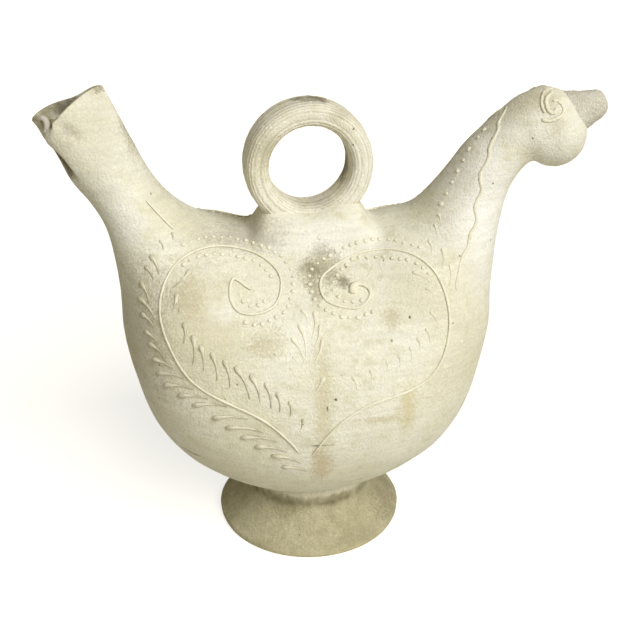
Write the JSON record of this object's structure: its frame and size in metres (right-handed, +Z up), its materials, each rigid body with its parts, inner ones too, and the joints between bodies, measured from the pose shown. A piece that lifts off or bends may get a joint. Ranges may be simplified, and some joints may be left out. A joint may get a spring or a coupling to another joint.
{
  "type": "bird-shaped pitcher",
  "caption": "Unglazed clay water pitcher in the shape of a hen, with a flared foot, a ring handle on its back, a pinched tail to fill it and a beak to pour from.",
  "frame": {"origin": "centre of the footprint box on the standing plane", "axes": "+X from the tail towards the beak, +Y away from the viewer of the picture, +Z up"},
  "size_m": [0.3405, 0.1792, 0.302],
  "materials": {
    "clay": "unglazed, dry and matt",
    "pale_clay": "unglazed, dry and matt, paler where it was wiped",
    "dark_clay": "unglazed, dry and matt, browned by dirt",
    "slip": "trailed liquid clay, dry and matt"
  },
  "bodies": {
    "root": {"belly": "clay", "back": "clay", "neck": "clay", "head": "clay", "handle_ring": "clay", "handle_saddle": "clay", "tail_spout": "pale_clay", "beak": "pale_clay", "foot": "dark_clay", "scroll_tail_side_front": "slip", "scroll_tail_side_back": "slip", "scroll_neck_side_front": "slip", "scroll_neck_side_back": "slip", "neck_wave_front": "slip", "neck_wave_back": "slip", "eye_arc_front": "slip", "eye_arc_back": "slip", "eye_curl_front": "slip", "eye_curl_back": "slip"}
  },
  "joints": []
}
